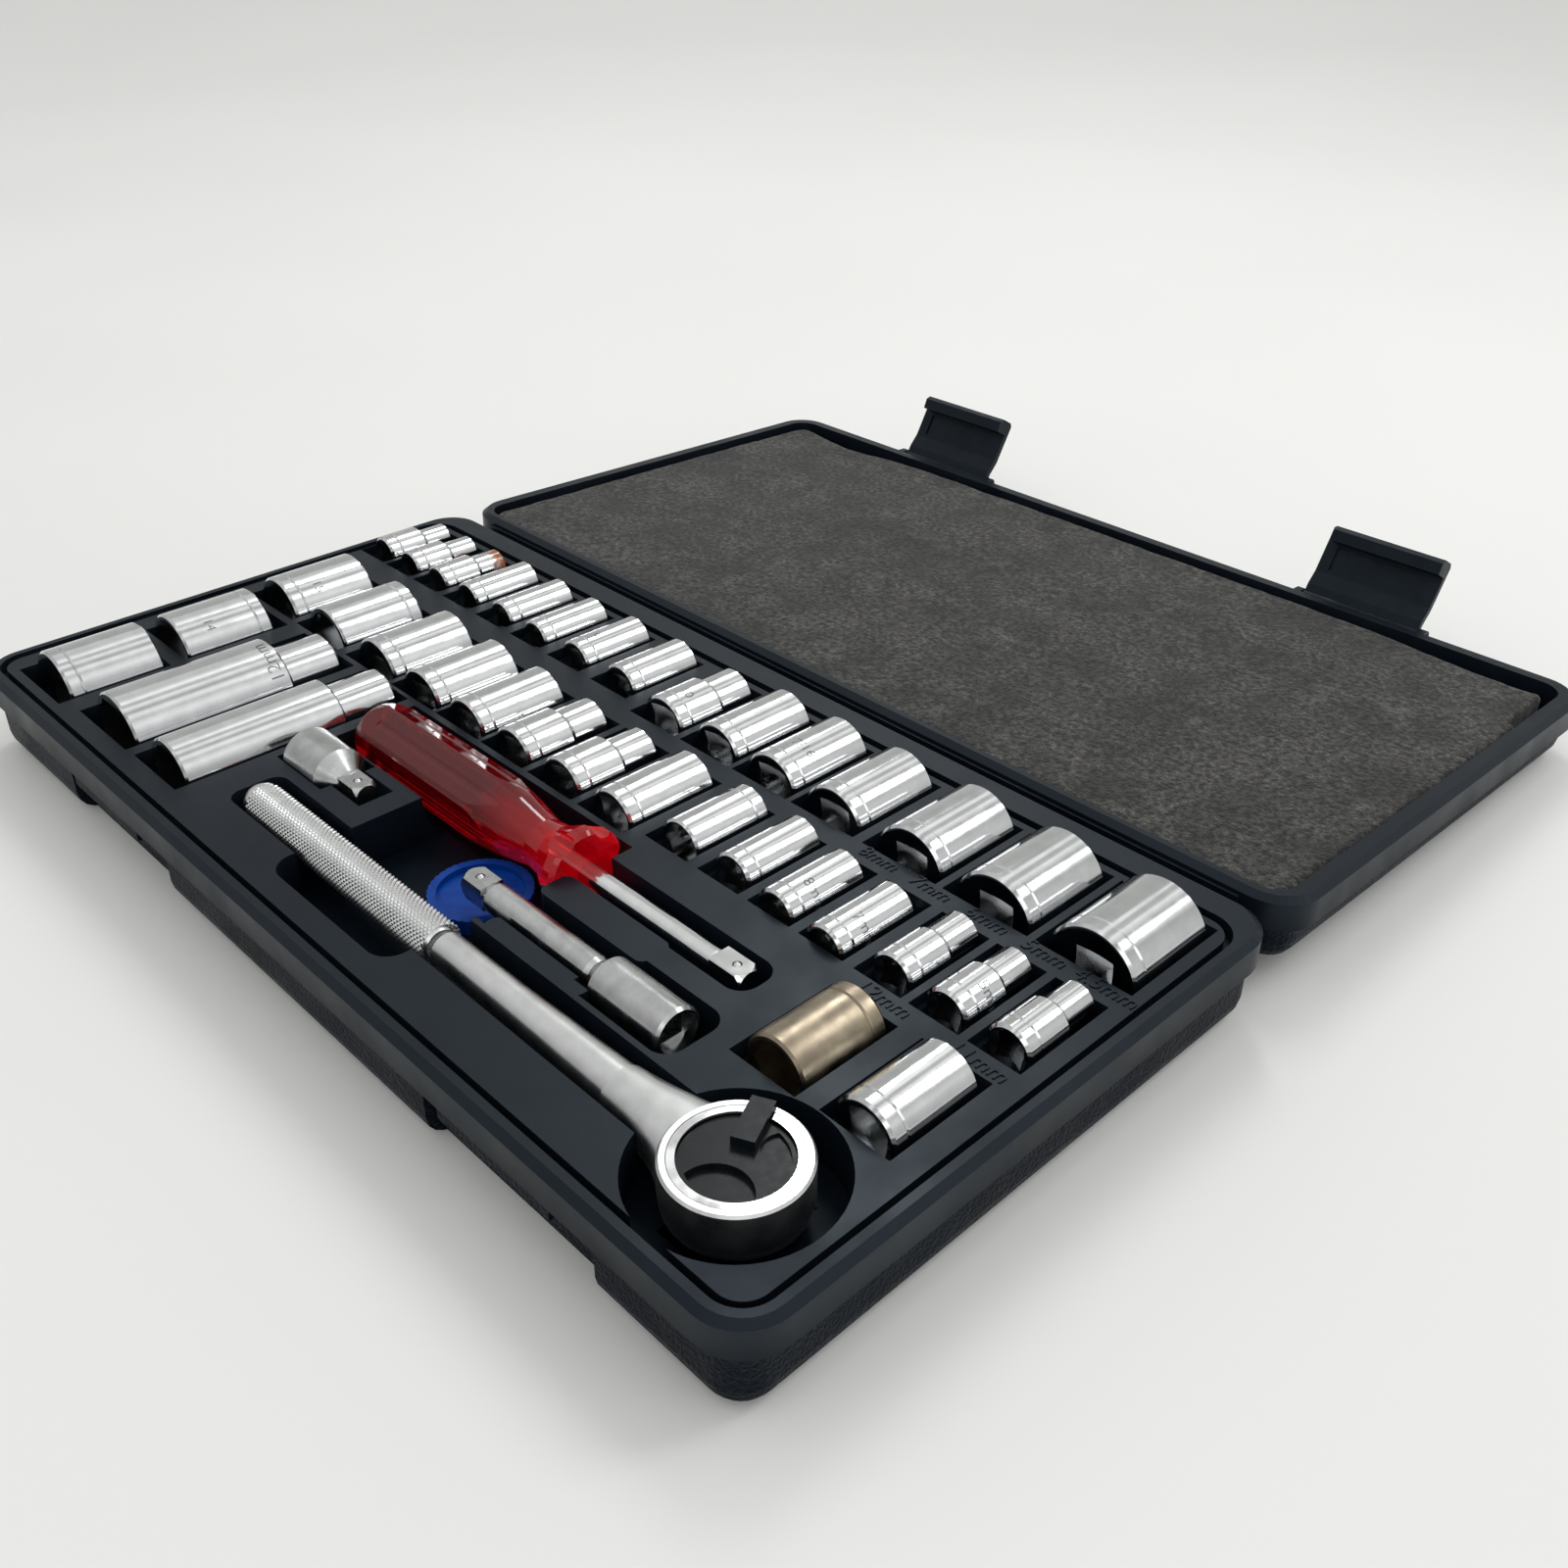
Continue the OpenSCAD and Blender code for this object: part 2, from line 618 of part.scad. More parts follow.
// Square tip along Z with chamfered end edges
module drive_square(side, len, z) {
  edge = side*0.12;
  intersection() {
    translate([-side/2, -side/2, z]) cube([side, side, len]);
    translate([0, 0, z]) rotate_extrude() polygon([[0, 0], [side/2, 0],
      [side*0.68, edge*2], [side*0.68, len], [0, len]]);
  }
}

ball_r = 1.4;
ball_out = 0.5;
ball_seat = 0.05;

module ball_hole(side, z) {
  translate([side/2 - 2*ball_r - 0.6, 0, z]) rotate([0, 90, 0]) cylinder(r = ball_r + ball_seat, h = 4);
}

module ball_in(side, z) {
  color([0.75, 0.75, 0.77]) translate([side/2 + ball_out - ball_r, 0, z]) sphere(ball_r);
}

module anvil_ball() { at_head() ball_in(drive_l, head_bottom_z - 0.6 - anvil_l/2); }

// Plastic plate with a sunk crescent for the finger and a thumb tab
tab_turn = 180 - tab_angle;
plate_face = 0.9;            // depth of the plate's face below the head's

module reversing_plate() {
  tab_w = 5;
  tab_rise = 1.3;
  color([0.09, 0.10, 0.12]) at_head() difference() {
    union() {
      translate([0, 0, plate_z]) cylinder(r = plate_flange_r, h = plate_t - ring_t - part_gap);
      translate([0, 0, plate_z]) cylinder(r = plate_r, h = plate_t - plate_face);
      rotate(tab_turn) translate([3, -tab_w/2, head_top_z - 1.5])
        cube([head_r - 3.4, tab_w, tab_rise + 1.5]);
    }
    // Crescent for the finger, and a shallow hollow beside the tab
    sunk(tab_turn + 176, 9.5, 7.6, 1.4);
    sunk(tab_turn - 55, 9, 4.4, 0.7);
    // The tab passes above the ring
    rotate(tab_turn) translate([plate_r - 0.4, -tab_w, head_top_z - 2]) cube([6, 2*tab_w, 2.15]);
    // Race for the detent ball, with dimples at the ends of the swing
    translate([0, 0, plate_z - 1]) difference() {
      cylinder(r = detent_r + detent_ball_r, h = 1.55);
      translate([0, 0, -1]) cylinder(r = detent_r - detent_ball_r, h = 3);
    }
    for (a = [-plate_swing, 0, plate_swing]) rotate(90 + a) translate([detent_r, 0, plate_z - 1])
      cylinder(r = detent_ball_r*0.7, h = 1.8);
  }
}

// Hollow in the plate's face: the part of a disc that lies inside its edge
module sunk(turn, out, r, depth) {
  intersection() {
    translate([0, 0, head_top_z - plate_face - depth]) cylinder(r = plate_r - 0.9, h = depth + 4);
    rotate(turn) translate([out, 0, 0]) cylinder(r = r, h = head_top_z + 1);
  }
}

module retaining_ring() {
  gap_w = 5.6;
  color([0.72, 0.72, 0.74]) at_head() difference() {
    translate([0, 0, head_top_z - ring_t]) cylinder(r = plate_flange_r + 0.2, h = ring_t - 0.05);
    translate([0, 0, head_top_z - ring_t - 1]) cylinder(r = plate_r + 0.25, h = ring_t + 2);
    rotate(tab_turn) translate([plate_r - 1, -gap_w/2, head_top_z - ring_t - 1])
      cube([5, gap_w, ring_t + 2]);
  }
}

// Rocking pawl: its two noses meet the gear's teeth in turn
module pawl() {
  nose = pawl_room_r - 0.5;
  color([0.45, 0.45, 0.47]) at_head() intersection() {
    translate([pawl_x, 0, gear_z]) cylinder(r = nose, h = gear_t);
    difference() {
      translate([pawl_x - nose, -nose, gear_z]) cube([2*nose, 2*nose, gear_t]);
      translate([0, 0, gear_z - 1]) cylinder(r = gear_r + part_gap/2 + 0.35, h = gear_t + 2);
    }
  }
}

module detent_ball() {
  color([0.75, 0.75, 0.77]) at_head() rotate(90)
    translate([detent_r, 0, plate_z - 0.2]) sphere(detent_ball_r);
}

// Coil spring below the detent ball, as turned rings joined by a sleeve
module detent_spring() {
  spring_l = 5.2;
  color([0.55, 0.55, 0.57]) at_head() rotate(90) translate([detent_r, 0, plate_z - 6.8])
    difference() {
      cylinder(r = detent_ball_r, h = spring_l);
      translate([0, 0, -1]) cylinder(r = detent_ball_r - 0.35, h = spring_l + 2);
    }
}

// ---------------------------------------------------------------- spinner

// Six-sided grip: flutes run along it, a waist and a flared collar end it
module spinner_handle() {
  l = spinner_grip_l;
  color([0.60, 0.02, 0.03]) translate([spinner_x - l, spinner_y, spinner_z]) rotate([0, 90, 0])
    difference() {
      intersection() {
        rotate_extrude() polygon([[0, 0], [spinner_grip_r - 4, 0], [spinner_grip_r - 1.2, 1.4],
          [spinner_grip_r, 5], [spinner_grip_r, l - 38], [spinner_grip_r - 1.5, l - 27],
          [spinner_grip_r - 3.4, l - 17], [spinner_grip_r - 2.6, l - 11],
          [spinner_collar_r, l - 3.5], [spinner_collar_r, l - 1], [spinner_collar_r - 1, l], [0, l]]);
        union() {
          cylinder(r = spinner_grip_r*1.04, h = l - 16, $fn = 6);
          translate([0, 0, l - 20]) cylinder(r = spinner_collar_r + 1, h = 21);
        }
      }
      // Flutes along the flats and scallops round the collar
      for (a = [30:60:359]) rotate(a) {
        translate([spinner_grip_r + 2.2, 0, 8]) cylinder(r = 3.4, h = l - 30);
        translate([spinner_collar_r + 1.6, 0, l - 16]) cylinder(r = 3.6, h = 20);
      }
      translate([0, 0, l - spinner_buried]) cylinder(r = spinner_shaft_r, h = spinner_buried + 1);
    }
}

spinner_buried = 40;

module spinner_shaft() {
  tip = 10;
  color([0.78, 0.78, 0.80]) translate([spinner_x - spinner_buried, spinner_y, spinner_z])
    rotate([0, 90, 0]) difference() {
      union() {
        rotate_extrude() polygon([[0, 0], [spinner_shaft_r, 0],
          [spinner_shaft_r, spinner_buried + spinner_shaft_l - tip - 1],
          [spinner_shaft_r - 0.4, spinner_buried + spinner_shaft_l - tip],
          [0, spinner_buried + spinner_shaft_l - tip]]);
        square_tip(drive_s, tip, spinner_buried + spinner_shaft_l);
      }
      translate([0, 0, spinner_buried + spinner_shaft_l - 4]) tip_ball_hole();
    }
}

// Square whose far end lies at z = top
module square_tip(side, len, top) {
  translate([0, 0, top]) mirror([0, 0, 1]) drive_square(side, len, 0);
}

module tip_ball_hole() {
  translate([-drive_s/2 - 1, 0, 0]) rotate([0, 90, 0]) cylinder(r = small_ball_r + ball_seat, h = 3.4);
}

small_ball_r = 1.1;
small_ball_out = 0.4;

module spinner_ball() {
  color([0.75, 0.75, 0.77])
    translate([spinner_x + spinner_shaft_l - 4, spinner_y, spinner_z + drive_s/2 + small_ball_out - small_ball_r])
      sphere(small_ball_r);
}

// ---------------------------------------------------------------- extension

module extension_bar() {
  tip = 8.5;
  color([0.62, 0.62, 0.63]) translate([ext_x + ext_l, ext_y, ext_z]) rotate([0, -90, 0]) difference() {
    union() {
      rotate_extrude() polygon([[0, 0], [ext_end_r - 0.6, 0], [ext_end_r, 0.8],
        [ext_end_r, ext_end_l - 2], [ext_r + 0.5, ext_end_l], [ext_r - 0.3, ext_end_l + 1.5],
        [ext_r, ext_end_l + 3], [ext_r, ext_l - tip - 1.6], [drive_s/2 + 0.2, ext_l - tip],
        [0, ext_l - tip]]);
      square_tip(drive_s, tip, ext_l);
    }
    translate([0, 0, -1]) linear_extrude(12) square(drive_s + 2*drive_play, center = true);
    translate([0, 0, -1]) cylinder(r = ext_end_r - 1.1, h = 4);
    translate([0, 0, ext_l - 4]) mirror([1, 0, 0]) tip_ball_hole();
  }
}

module extension_ball() {
  color([0.75, 0.75, 0.77])
    translate([ext_x + 4, ext_y, ext_z + drive_s/2 + small_ball_out - small_ball_r])
      sphere(small_ball_r);
}

// ---------------------------------------------------------------- adapter

adapter_tip = 8;
adapter_cone = 4.5;

module adapter_body() {
  total = adapter_l + adapter_cone + adapter_tip;
  color([0.66, 0.66, 0.66]) translate([adapter_x, adapter_y, adapter_z]) rotate([0, 90, 0]) difference() {
    union() {
      rotate_extrude() polygon([[0, 0], [adapter_r - 0.6, 0], [adapter_r, 0.8],
        [adapter_r, adapter_l - 1], [adapter_r - 0.8, adapter_l],
        [drive_s*0.62, adapter_l + adapter_cone - 0.5], [drive_s*0.5, adapter_l + adapter_cone],
        [0, adapter_l + adapter_cone]]);
      square_tip(drive_s, adapter_tip + 1, total);
    }
    translate([0, 0, -1]) linear_extrude(12) square(drive_l + 2*drive_play, center = true);
    translate([0, 0, total - 4]) tip_ball_hole();
  }
}

module adapter_ball() {
  color([0.75, 0.75, 0.77])
    translate([adapter_x + adapter_l + adapter_cone + adapter_tip - 4, adapter_y,
      adapter_z + drive_s/2 + small_ball_out - small_ball_r]) sphere(small_ball_r);
}

// ---------------------------------------------------------------- cap

// Round cap with a ribbed edge and a dished face, lying in the well
module ribbed_cap() {
  ribs = 40;
  color([0.02, 0.12, 0.55]) translate([cap_x, cap_y, well_floor + seat_gap]) difference() {
    cylinder(r = cap_r, h = cap_h);
    translate([0, 0, cap_h - 1.6]) cylinder(r = cap_r - 2.2, h = 2);
    for (i = [0:ribs - 1]) rotate(i*360/ribs) translate([cap_r + 0.25, 0, -1])
      cylinder(r = 0.55, h = cap_h + 2, $fn = 6);
  }
}

// ---------------------------------------------------------------- sockets

// A socket along +Y from its drive end at the origin
module socket_solid(r, af, large, nose_r, len) {
  side = (large ? drive_l : drive_s) + 2*drive_play;
  hole = large ? 11 : 9;
  step = len*0.56;
  ring_y = 4;
  nose = nose_r == 0 ? r : nose_r;
  along_y(0, 0, 0) difference() {
    rotate_extrude() polygon([[0, 0], [r - 0.7, 0], [r, 0.7], [r, ring_y - ring_w/2],
      [r - ring_d, ring_y], [r, ring_y + ring_w/2], [r, step - 0.6],
      [nose_r == 0 ? r : r - 0.7, step], [nose, step + (r - nose)*0.5 + 0.4],
      [nose, len - 0.6], [nose - 0.6, len], [0, len]]);
    translate([0, 0, -1]) linear_extrude(hole + 1) square(side, center = true);
    // Dished drive face
    translate([0, 0, -eps]) cylinder(r1 = r - 1.1, r2 = side/2, h = 1.3);
    cylinder(r = min(side, af)*0.42, h = len);
    hex_bore(af, len);
  }
}

module hex_bore(af, len) {
  depth = min(af*0.7 + 2, len*0.5);
  translate([0, 0, len - depth]) cylinder(d = af/cos(30), h = depth + 1, $fn = 6);
  translate([0, 0, len - 0.8]) cylinder(d1 = af, d2 = af/cos(30) + 0.6, h = 0.8 + eps);
}

// A socket in its pocket, a gap in front of the pocket's back wall
module placed_socket(s, wall, len, tint = [0.76, 0.77, 0.78]) {
  turned = s[5] == 1;
  far = wall - s[6];
  color(tint) translate([s[0], turned ? far : far - len, axis_z(s[1])])
    rotate([0, 0, turned ? 180 : 0]) socket_solid(s[1], s[2], s[3] == 1, s[4], len);
}

module back_socket(i) { placed_socket(back_row[i - 1], back_wall, row_len(back_row[i - 1])); }
module mid_socket(i) { placed_socket(mid_row[i - 1], mid_wall, row_len(mid_row[i - 1])); }
module own_socket(s, tint = [0.76, 0.77, 0.78]) { placed_socket(s, s[7], s[8], tint); }

// Deep socket: long body for a spark plug, narrower drive end towards the lid
module deep_socket(s) {
  r = s[1];
  body_l = sock_deep - deep_neck_l;
  side = drive_l + 2*drive_play;
  color([0.76, 0.77, 0.78]) along_y(s[0], s[4], axis_z(r)) difference() {
    rotate_extrude() polygon([[0, 0], [r - 0.6, 0], [r, 0.6], [r, body_l - 0.8],
      [r - 0.8, body_l], [s[3], body_l + 0.6], [s[3], sock_deep - 0.8],
      [s[3] - 0.8, sock_deep], [0, sock_deep]]);
    translate([0, 0, -1]) cylinder(d = s[2]/cos(30), h = 17, $fn = 6);
    cylinder(r = s[2]*0.5, h = body_l - 4);
    cylinder(r = side*0.42, h = sock_deep);
    translate([0, 0, sock_deep - 11]) linear_extrude(12) square(side, center = true);
  }
}

module socket_deep_large() { deep_socket(deep_pair[0]); }
module socket_deep_small() { deep_socket(deep_pair[1]); }

// ---------------------------------------------------------------- drawing

base_shell();
tray_back();
tray_front();
lid_shell();
lid_foam();
hinge_web();
latch_left();
latch_right();
ratchet_body();
drive_gear();
anvil_ball();
reversing_plate();
retaining_ring();
pawl();
detent_ball();
detent_spring();
spinner_handle();
spinner_shaft();
spinner_ball();
extension_bar();
extension_ball();
adapter_body();
adapter_ball();
ribbed_cap();
back_socket(1);  // socket_back_01
back_socket(2);  // socket_back_02
back_socket(3);  // socket_back_03
back_socket(4);  // socket_back_04
back_socket(5);  // socket_back_05
back_socket(6);  // socket_back_06
back_socket(7);  // socket_back_07
back_socket(8);  // socket_back_08
back_socket(9);  // socket_back_09
back_socket(10);  // socket_back_10
back_socket(11);  // socket_back_11
back_socket(12);  // socket_back_12
back_socket(13);  // socket_back_13
back_socket(14);  // socket_back_14
back_socket(15);  // socket_back_15
mid_socket(1);  // socket_mid_01
mid_socket(2);  // socket_mid_02
mid_socket(3);  // socket_mid_03
mid_socket(4);  // socket_mid_04
mid_socket(5);  // socket_mid_05
mid_socket(6);  // socket_mid_06
mid_socket(7);  // socket_mid_07
mid_socket(8);  // socket_mid_08
mid_socket(9);  // socket_mid_09
mid_socket(10);  // socket_mid_10
mid_socket(11);  // socket_mid_11
mid_socket(12);  // socket_mid_12
mid_socket(13);  // socket_mid_13
mid_socket(14);  // socket_mid_14
mid_socket(15);  // socket_mid_15
own_socket(column[0]);  // socket_column_1
own_socket(column[1]);  // socket_column_2
own_socket(front_pair[0], [0.48, 0.42, 0.32]);  // socket_front_bronze
own_socket(front_pair[1]);  // socket_front_chrome
socket_deep_large();
socket_deep_small();
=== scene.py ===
import bpy
import bmesh
import math
from mathutils import Matrix, Vector, noise


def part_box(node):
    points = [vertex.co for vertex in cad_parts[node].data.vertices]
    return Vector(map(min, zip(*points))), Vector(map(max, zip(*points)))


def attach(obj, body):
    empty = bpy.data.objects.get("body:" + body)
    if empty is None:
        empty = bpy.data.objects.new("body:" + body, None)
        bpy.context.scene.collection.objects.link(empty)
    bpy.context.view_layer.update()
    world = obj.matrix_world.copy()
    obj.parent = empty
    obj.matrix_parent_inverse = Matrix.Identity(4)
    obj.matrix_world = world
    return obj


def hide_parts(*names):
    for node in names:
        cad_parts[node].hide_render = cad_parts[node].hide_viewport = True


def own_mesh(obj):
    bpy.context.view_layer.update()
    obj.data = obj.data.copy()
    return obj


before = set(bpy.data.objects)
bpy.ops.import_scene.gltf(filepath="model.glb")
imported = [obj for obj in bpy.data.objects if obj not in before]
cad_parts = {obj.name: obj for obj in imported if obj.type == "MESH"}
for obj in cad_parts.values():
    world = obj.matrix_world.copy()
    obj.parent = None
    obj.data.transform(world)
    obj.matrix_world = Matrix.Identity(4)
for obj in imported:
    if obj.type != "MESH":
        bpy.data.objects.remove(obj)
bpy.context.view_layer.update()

# ------------------------------------------------------------------ camera
# It stands off the case's front right corner, a little over 20 cm above the rim, and looks
# down over the ratchet's head.


def stand(name, data):
    """Put an object that holds the data into the scene."""
    thing = bpy.data.objects.new(name, data)
    bpy.context.scene.collection.objects.link(thing)
    return thing


heading, downward, lean = math.radians(45.81), math.radians(32.38), math.radians(0.41)
focal_px, frame_px, sensor_mm = 1595.8, 1600, 36
eye_x, eye_y, eye_above_rim = 0.2889, -0.1951, 0.2156
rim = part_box("base_shell")[1].z
ahead = Vector((-math.sin(heading) * math.cos(downward),
                math.cos(heading) * math.cos(downward),
                -math.sin(downward)))
right = Vector((math.cos(heading), math.sin(heading), 0))
down = ahead.cross(right)
right, down = (right * math.cos(lean) - down * math.sin(lean),
               right * math.sin(lean) + down * math.cos(lean))
eye = stand("camera", bpy.data.cameras.new("camera"))
eye.data.sensor_width = sensor_mm
eye.data.lens = focal_px / frame_px * sensor_mm
eye.data.clip_start, eye.data.clip_end = 0.01, 20
eye.matrix_world = Matrix((
    (right.x, -down.x, -ahead.x, eye_x),
    (right.y, -down.y, -ahead.y, eye_y),
    (right.z, -down.z, -ahead.z, rim + eye_above_rim),
    (0, 0, 0, 1)))
bpy.context.scene.camera = eye
bpy.context.scene.view_settings.view_transform = "Standard"

# ------------------------------------------------------------------ daylight
# A pale room, brighter overhead than at eye level, with darker and lighter bands from left to
# right that show as streaks in the plated barrels. Three soft lamps stand in for its windows.


def feed(tree, socket, value):
    """Link the socket to a node or to another socket, or set it to a plain value."""
    if isinstance(value, bpy.types.Node):
        value = value.outputs[0]
    if isinstance(value, bpy.types.NodeSocket):
        tree.links.new(value, socket)
    else:
        socket.default_value = value


def add(tree, kind, *feeds, **settings):
    """A new node, with its first sockets fed in order and the rest set by name."""
    node = tree.nodes.new("ShaderNode" + kind)
    for key, value in settings.items():
        if key in node.inputs.keys():
            feed(tree, node.inputs[key], value)
        else:
            setattr(node, key, value)
    for socket, value in zip(node.inputs, feeds):
        feed(tree, socket, value)
    return node


def colour_ramp(tree, source, stops):
    """A ramp through the stops, each a place from 0 to 1 with a grey or a colour."""
    ramp = add(tree, "ValToRGB", source)
    marks = ramp.color_ramp.elements
    marks[0].position, marks[1].position = stops[0][0], stops[-1][0]
    for place, colour in stops[1:-1]:
        marks.new(place)
    for mark, (_, colour) in zip(marks, stops):
        mark.color = (*(colour if isinstance(colour, tuple) else (colour,) * 3), 1)
    return ramp


daylight = bpy.data.worlds.new("daylight")
bpy.context.scene.world = daylight
daylight.use_nodes = True
sky = daylight.node_tree
sky.nodes.clear()
way = add(sky, "SeparateXYZ", add(sky, "TexCoord").outputs["Generated"])
rising = colour_ramp(sky, way.outputs["Z"], (
    (0.0, (0.42, 0.42, 0.412)), (0.3, (0.47, 0.47, 0.463)), (0.75, (0.76, 0.76, 0.75))))
left_to_right = add(sky, "Math", way.outputs["X"], 0.5, 0.5, operation="MULTIPLY_ADD")
bands = colour_ramp(sky, left_to_right, (
    (0.0, (0.62, 0.62, 0.63)), (0.14, 0.70), (0.24, 0.58), (0.30, 0.64), (0.34, 0.98),
    (0.38, 1.0), (0.41, 0.50), (0.47, 0.52), (0.50, 1.0), (0.56, 0.66), (0.60, 0.36),
    (0.68, 0.98), (0.76, 0.55), (0.86, 1.0), (1.0, (0.55, 0.55, 0.56))))
room = add(sky, "MixRGB", 1.0, rising, bands, blend_type="MULTIPLY")
add(sky, "OutputWorld", add(sky, "Background", Color=room, Strength=1.72))

for name, place, aim, size, watts in (
        ("window", (-0.55, 0.75, 1.15), (0, 0.1, 0), (0.2, 0.6), 3.6),
        ("ceiling", (0.55, 0.8, 1.05), (0, 0.1, 0), (0.3, 0.6), 3.4),
        ("bounce", (0.9, -0.9, 0.6), (0, 0, 0), (0.8, 0.5), 1.2)):
    lamp = stand(name, bpy.data.lights.new(name, "AREA"))
    lamp.data.shape = "RECTANGLE"
    lamp.data.size, lamp.data.size_y = size
    lamp.data.energy = watts
    lamp.location = place
    lamp.rotation_euler = (Vector(aim) - Vector(place)).to_track_quat("-Z", "Y").to_euler()

# ------------------------------------------------------------------ floor
# A sheet of pale paper on which the open case lies. It runs back from the camera and curves up
# into a plain backdrop.


def new_finish(name):
    finish = bpy.data.materials.new(name)
    finish.use_nodes = True
    return finish, finish.node_tree, finish.node_tree.nodes["Principled BSDF"]


def mottle(tree, scale, dark, light, detail=4.0, where=None, lo=0.35, hi=0.65):
    """Noise between two greys or colours, sized in the object's own metres."""
    if where is None:
        where = add(tree, "TexCoord").outputs["Object"]
    spots = add(tree, "TexNoise", where, Scale=scale, Detail=detail)
    return colour_ramp(tree, spots, ((lo, dark), (hi, light)))


paper_half_width, paper_drop = 4.5, 0.0001
# Distance behind the object and height, from the front edge to the backdrop's top
paper_bend = [(-3.0, 0.0), (1.1, 0.0), (1.5, 0.02), (1.9, 0.1),
              (2.3, 0.28), (2.6, 0.55), (2.75, 0.9), (2.8, 2.6)]
facing = Matrix.Rotation(heading, 3, "Z")
corners = [facing @ Vector((side * paper_half_width, along, high)) - Vector((0, 0, paper_drop))
           for along, high in paper_bend for side in (-1, 1)]
strips = [(2 * i, 2 * i + 1, 2 * i + 3, 2 * i + 2) for i in range(len(paper_bend) - 1)]
sweep = bpy.data.meshes.new("floor")
sweep.from_pydata([tuple(corner) for corner in corners], [], strips)
sweep.polygons.foreach_set("use_smooth", [True] * len(sweep.polygons))
floor = stand("floor", sweep)
paper, tree, skin = new_finish("paper")
skin.inputs["Roughness"].default_value = 0.65
skin.inputs["Specular IOR Level"].default_value = 0.3
feed(tree, skin.inputs["Base Color"],
     mottle(tree, 3.0, (0.74, 0.745, 0.73), (0.80, 0.805, 0.79), detail=2.0, lo=0.0, hi=1.0))
sweep.materials.append(paper)

# ------------------------------------------------------------------ case: base, lid and web
# The two halves and the web between them are one blue-black polypropylene moulding. Its tray
# is satin with faint flow marks, and the outer walls below the rim have a leather grain.


def case_plastic(name, tilt, mid_y, band_foot):
    """The case's finish for a half that leans by tilt, with its middle and rim band given."""
    finish, tree, skin = new_finish(name)
    coord = add(tree, "TexCoord").outputs["Object"]
    level = add(tree, "SeparateXYZ", add(tree, "Mapping", coord, Rotation=(tilt, 0, 0)))
    feed(tree, skin.inputs["Base Color"],
         mottle(tree, 28, (0.0028, 0.0050, 0.0090), (0.0050, 0.0080, 0.0130)))
    feed(tree, skin.inputs["Roughness"], mottle(tree, 60, 0.34, 0.46))
    skin.inputs["Specular Tint"].default_value = plastic_sheen
    # Painted shade: the reflection is turned down below the rim band, so that the deep floors of the
    # wells look darker than the surfaces above them
    feed(tree, skin.inputs["Specular IOR Level"],
         add(tree, "MapRange", level.outputs["Z"], band_foot - 0.003, band_foot + 0.006, 0.07, 0.24))
    # Leather grain only on the outer walls, between the bottom and the rim band
    across = add(tree, "Math", level.outputs["X"], operation="ABSOLUTE")
    at_ends = add(tree, "Math", across, grain_past_x, operation="GREATER_THAN")
    off_middle = add(tree, "Math", level.outputs["Y"], mid_y, operation="SUBTRACT")
    along = add(tree, "Math", off_middle, operation="ABSOLUTE")
    at_front = add(tree, "Math", along, grain_past_y, operation="GREATER_THAN")
    outer = add(tree, "Math", at_ends, at_front, operation="MAXIMUM")
    below = add(tree, "Math", level.outputs["Z"], band_foot, operation="LESS_THAN")
    grained = add(tree, "Math", outer, below, operation="MULTIPLY")
    warp = add(tree, "TexNoise", coord, Scale=400.0, Detail=3.0)
    wrinkled = add(tree, "MixRGB", 0.0016, coord, warp.outputs["Color"], blend_type="ADD")
    cells = add(tree, "TexVoronoi", wrinkled, Scale=620.0, feature="DISTANCE_TO_EDGE")
    pebbles = add(tree, "MapRange", cells.outputs["Distance"], 0.0, 0.28)
    leather = add(tree, "Math", pebbles, grained, operation="MULTIPLY")
    # Everywhere the mould's own fine sanding, under the grain
    fine = add(tree, "TexNoise", coord, Scale=1500.0, Detail=2.0)
    sanding = add(tree, "Bump", Strength=0.12, Distance=0.0001, Height=fine)
    feed(tree, skin.inputs["Normal"],
         add(tree, "Bump", Strength=0.75, Distance=0.00022, Height=leather, Normal=sanding))
    return finish


def coat(node, finish):
    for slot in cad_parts[node].material_slots:
        slot.material = finish


plastic_sheen = (0.74, 0.90, 1.0, 1)
grain_past_x, grain_past_y = 0.158, 0.0765
hinge_line = Vector((0, 0.08625, rim + 0.0001))
lid_tilt, lid_mid_y = math.radians(2), 0.1716
lid_rim = hinge_line.y * math.sin(lid_tilt) + hinge_line.z * math.cos(lid_tilt)
base_plastic = case_plastic("case_plastic", 0, 0, rim - 0.0093)
lid_plastic = case_plastic("lid_plastic", lid_tilt, lid_mid_y, lid_rim - 0.0094)
for node in ("base_shell", "tray_back", "tray_front", "hinge_web"):
    coat(node, base_plastic)
coat("lid_shell", lid_plastic)

# ------------------------------------------------------------------ tray numbers
# Plain size numbers stand up from the tray beside the small sockets. They are part of the
# moulding, about a quarter of a millimetre high.


def lettering(name, mark, size, half_depth, thin, slant=0.0):
    """The mark as a mesh that lies flat and reaches half_depth to both sides of z = 0."""
    words = bpy.data.curves.new(name, "FONT")
    words.body, words.size, words.shear = mark, size, slant
    words.extrude, words.offset, words.resolution_u = half_depth, -thin, 3
    line = stand(name, words)
    bpy.context.view_layer.update()
    graph = bpy.context.evaluated_depsgraph_get()
    mesh = bpy.data.meshes.new_from_object(line.evaluated_get(graph))
    bpy.data.objects.remove(line)
    mesh.materials.clear()
    return mesh


